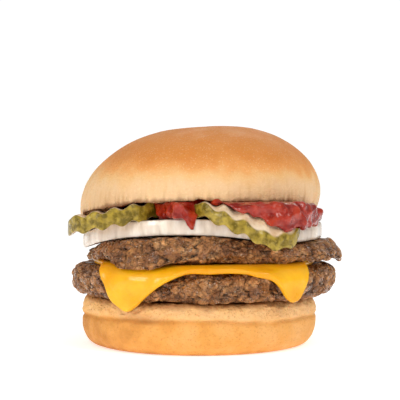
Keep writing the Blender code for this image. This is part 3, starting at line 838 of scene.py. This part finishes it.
def cheese(looks):
    """A slice laid along the patty, over its edge and down, where arc length sets each row.

    It runs level as far as the fold, then round an arc that turns by arc length over the bend's radius,
    as far as its lean, and then straight on. Its faces stand half a thickness off that path along the
    path's normal, thicker in a bead at the hanging rim.
    """
    ring, level = disc_rows(110, 16, 0.016, 2.0)
    ring, azimuth, level = spread(ring, level, 400)
    lip = 2.4 * MM * bump_at(azimuth, 22, 10) + 0.9 * MM * bump_at(azimuth, 4, 7)
    wobble = 0.5 * MM * waves_of(rim_spots(azimuth, 55 * MM), 9 * MM, 61)
    reach = ring * (cheese_reach(azimuth) + lip + wobble)
    start = lower_outline(azimuth) - CHEESE_TURNS
    turn = np.clip((reach - start) / CHEESE_BEND, 0, CHEESE_LEAN)
    hanging = np.clip(reach - start - CHEESE_BEND * CHEESE_LEAN, 0, None)
    outwards = np.minimum(reach, start) + CHEESE_BEND * np.sin(turn) + hanging * np.cos(turn)
    down = CHEESE_BEND * (1 - np.cos(turn)) + hanging * np.sin(turn)
    bead = 1 + 0.35 * eased(ring, 0.90, 0.985) * eased(down, 0, 4 * MM)
    offset = level * bead * CHEESE_THICKNESS / 2
    x, y = place(outwards + offset * np.sin(turn), azimuth, LOWER_CENTRE)
    points = np.stack([x, y, CHEESE_MIDDLE - down + offset * np.cos(turn)], axis=-1)
    relief = 0.6 * waves_of(points, 8 * MM, 62) + 0.10 * waves_of(points, 3 * MM, 63)
    points = lifted(points, relief * eased(down, 0, 3 * MM))
    # Painted shade: full on the lying part, fading out as the slice hangs.
    fold = 0.5 * eased(-down, -4 * MM, 0)
    return closed_piece("slice_of_cheese", points, looks, "cheese_slice", {"fold": fold})


def onion(looks):
    """A slice of onion: a disc with a sharp edge, bent so that its top follows onion_top.

    Grooves stand where the radius, over 4.6 mm, is a whole number. Threads up the wall are noise read
    on a circle that hardly changes with height. The wall swells as one less the level squared.
    """
    ring, level = disc_rows(56, 30, 0.014, 4.0)
    ring, azimuth, level = spread(ring, level, 480)
    spot = rim_spots(azimuth, ONION_RADIUS)
    outline = ONION_RADIUS + 0.7 * MM * waves_of(spot, 24 * MM, 71) + 0.25 * MM * waves_of(spot, 8 * MM, 72)
    x, y = place(ring * outline, azimuth, ONION_CENTRE)
    middle = onion_top(x, y) - ONION_THICKNESS / 2
    half = ONION_THICKNESS / 2 * (1 + 0.08 * waves_of(spot, 15 * MM, 73))
    points = np.stack([x, y, middle + level * half], axis=-1)
    face = 1 - eased(ring, 0.975, 0.99)
    ringed = np.abs((ring * outline / (4.6 * MM) + 0.2 * waves_of(points, 14 * MM, 74)) % 1 - 0.5) * 2
    groove = eased(ringed, 0.86, 1.0) * face * eased(ring, 0.1, 0.2)
    along = spot + np.array([0, 0, 1]) * (level * 0.9 * MM)[..., None]
    thread = 0.35 + 0.6 * waves_of(along, 3.6 * MM, 77) + 0.5 * waves_of(along, 1.4 * MM, 75)
    thread = np.clip(thread + 0.3 * waves_of(along, 0.7 * MM, 76), 0, 1)
    wall = 1 - face
    relief = -0.5 * groove + wall * (-0.16 * thread + 0.35 * (1 - level ** 2) - 0.1)
    points = lifted(points, relief)
    masks = {"groove": groove, "thread": thread * wall}
    return closed_piece("slice_of_onion", points, looks, "onion_slice", masks)


def chip(name, looks, salt):
    """A crinkled chip: a round slice whose height is chip_height plus a cosine wave along X.

    Level times half its thickness is added, and its skin reaches further down. Noise sets how even the
    outline and the waves are, and puts small bumps on the skin.
    """
    centre, radius, *_ = CHIPS[name]
    ring, level = disc_rows(48, 26, 0.045, 3.0)
    ring, azimuth, level = spread(ring, level, 320)
    spot = rim_spots(azimuth, radius)
    outline = radius * (1 + 0.012 * waves_of(spot, 9 * MM, salt))
    x, y = place(ring * outline, azimuth, centre)
    phase = 2 * np.pi * (x - centre[0]) / CHIP_WAVE + 0.25 * waves_of(spot, 14 * MM, salt + 1)
    rise = CHIP_WAVE_RISE * (1 + 0.25 * waves_of(spot, 12 * MM, salt + 2))
    z = chip_height(name, x, y) + rise * np.cos(phase) + level * CHIP_THICKNESS / 2
    z = z - CHIP_SKIN_DROP[name] * eased(ring, 0.75, 0.97) * eased(level, 1, -1)
    points = np.stack([x, y, z], axis=-1)
    wall = eased(ring, 0.962, 0.985)
    bumps = layered(points, 2.2 * MM, 3, salt + 3)
    relief = 0.16 * bumps * wall + 0.05 * waves_of(points, 3 * MM, salt + 4)
    points = lifted(points, relief)
    made_name = name.replace("pickle_chip", "crinkled_chip")
    return closed_piece(made_name, points, looks, name, {"skin": wall})


def ketchup(looks):
    """Ketchup pressed out between onion and crown, to an outline by azimuth plus lobes and swells.

    Its bottom is the higher of the onion's top and the chips' tops. Its top is the crown's cut face,
    held past a radius, and at least a gap above its bottom. Height is their mean plus level times half
    their difference, less a drip at the front. Noise raises lumps on its edge.
    """
    ring, level = disc_rows(60, 56, 0.075, 3.0)
    ring, azimuth, level = spread(ring, level, 560)
    spot = rim_spots(azimuth, 48 * MM)
    swell = 1.7 * MM * waves_of(spot, 8 * MM, 81) + 0.8 * MM * waves_of(spot, 4 * MM, 82)
    reach = ketchup_outline(azimuth) + swell
    for middle, length, half_width in KETCHUP_LOBES:
        reach = reach + length * bump_at(azimuth, middle, half_width)
    x, y = place(ring * reach, azimuth, CROWN_CENTRE)
    on_chip = over_chips(x, y, ("pickle_chip_left", "pickle_chip_right"), clear=0.1 * MM, steepness=4.0)
    bottom = np.maximum(onion_top(x, y) + 0.2 * MM, on_chip)
    x_held, y_held = place(np.minimum(ring * reach, KETCHUP_HELD), azimuth, CROWN_CENTRE)
    top = np.maximum(crown_bottom(x_held, y_held) + GAP, bottom + GAP)
    outer = eased(ring, 0.91, 0.97)
    drip = bump_at(azimuth, -1, 4.5) * outer * 6.0 * MM
    points = np.stack([x, y, (top + bottom + level * (top - bottom)) / 2 - drip], axis=-1)
    lumps = waves_of(points, 4.5 * MM, 83)
    relief = 1.25 * lumps + 0.45 * waves_of(points, 2.2 * MM, 84) + 0.1 * waves_of(points, 1.1 * MM, 85)
    points = lifted(points, relief * outer)
    # Painted light on the crests of the lumps.
    crest = eased(lumps, 0.0, 0.8) * 0.7
    return closed_piece("dressing", points, looks, "ketchup", {"crest": crest})


# Studio

def floor():
    """A wide pale floor."""
    half = 6.0
    corners = [(-half, -half, 0), (half, -half, 0), (half, half, 0), (-half, half, 0)]
    mesh = bpy.data.meshes.new("floor")
    mesh.from_pydata(corners, [], [(0, 1, 2, 3)])
    made = bpy.data.objects.new("floor", mesh)
    bpy.context.scene.collection.objects.link(made)
    look = Finish("pale_floor", Roughness=0.9, Specular_IOR_Level=0.1, Base_Color=(0.93, 0.93, 0.93, 1.0),
                  Emission_Strength=0.52, Emission_Color=(1.0, 1.0, 1.0, 1.0))
    mesh.materials.append(look.material)


def studio_world(light):
    """White all round, dimmer as light than as a backdrop."""
    world = bpy.data.worlds.new("studio")
    world.use_nodes = True
    bpy.context.scene.world = world
    tree = world.node_tree
    tree.nodes.clear()
    backdrop = add(tree, "ShaderNodeBackground", {"Color": (1, 1, 1, 1), "Strength": 1.05})
    lighting = add(tree, "ShaderNodeBackground", {"Color": (1.0, 0.985, 0.96, 1), "Strength": light})
    path = add(tree, "ShaderNodeLightPath").outputs["Is Camera Ray"]
    both = add(tree, "ShaderNodeMixShader", {0: path, 1: lighting.outputs[0], 2: backdrop.outputs[0]})
    add(tree, "ShaderNodeOutputWorld", {"Surface": both.outputs[0]})


def aim(thing, target):
    """Turns a lamp or camera to look at a point."""
    away = np.array(target) - np.array(thing.location)
    pitch = np.arctan2(np.hypot(away[0], away[1]), -away[2])
    thing.rotation_euler = (pitch, 0, np.arctan2(-away[0], away[1]))


def softbox(name, place_at, size, power, colour, target):
    """A square soft light."""
    data = bpy.data.lights.new(name, "AREA")
    data.shape = "RECTANGLE"
    data.size, data.size_y = size
    data.energy = power
    data.color = colour
    lamp = bpy.data.objects.new(name, data)
    lamp.location = place_at
    bpy.context.scene.collection.objects.link(lamp)
    aim(lamp, target)


def sun(name, direction, strength, softness):
    """A broad distant light from a direction."""
    data = bpy.data.lights.new(name, "SUN")
    data.energy = strength
    data.angle = softness
    lamp = bpy.data.objects.new(name, data)
    lamp.location = direction
    bpy.context.scene.collection.objects.link(lamp)
    aim(lamp, (0, 0, 0))


def studio():
    """Floor, backdrop, lights and the camera, at the burger's own height."""
    floor()
    studio_world(0.45)
    middle = STACK_ORIGIN + np.array([0, 0, 50 * MM])
    sun("daylight", (0.5, -0.6, 1.0), 0.5, np.radians(40))
    softbox("key", (0.35, -0.45, 0.35), (0.18, 0.18), 0.80, (1, 0.97, 0.93), middle)
    softbox("fill", (-0.45, -0.35, 0.22), (0.16, 0.25), 0.95, (1, 0.98, 0.96), middle)
    softbox("glint", (-0.15, -0.6, 0.45), (0.05, 0.05), 0.5, (1, 0.98, 0.95), middle)
    softbox("rim", (0.1, 0.5, 0.4), (0.4, 0.2), 0.4, (1, 1, 1), middle)

    distance, elevation = 600 * MM, np.radians(2)
    target = STACK_ORIGIN + np.array([0, 0, 61 * MM])
    data = bpy.data.cameras.new("camera")
    data.sensor_width = 36
    data.lens = 125.6
    data.clip_start = 0.01
    camera = bpy.data.objects.new("camera", data)
    camera.location = target + distance * np.array([0, -np.cos(elevation), np.sin(elevation)])
    bpy.context.scene.collection.objects.link(camera)
    aim(camera, target)
    bpy.context.scene.camera = camera
    bpy.context.scene.view_settings.view_transform = "Standard"


def main():
    """The studio, and then every piece from the bottom up."""
    studio()
    mottle, pores = mottle_group(), pores_group()
    beef = cooked_beef(mottle, pores)
    pickle = crinkled_pickle(mottle, pores)
    heel(heel_bread(mottle, pores))
    patty("patty_below", "patty_lower", beef, LOWER_CENTRE, lower_outline, lower_faces, 100)
    cheese(melted_cheese(mottle))
    patty("patty_above", "patty_upper", beef, UPPER_CENTRE, upper_outline, upper_faces, 200)
    onion(raw_onion(mottle))
    for order, name in enumerate(CHIPS):
        chip(name, pickle, 300 + 20 * order)
    ketchup(thick_ketchup(mottle))
    crown(crown_bread(mottle, pores))


main()
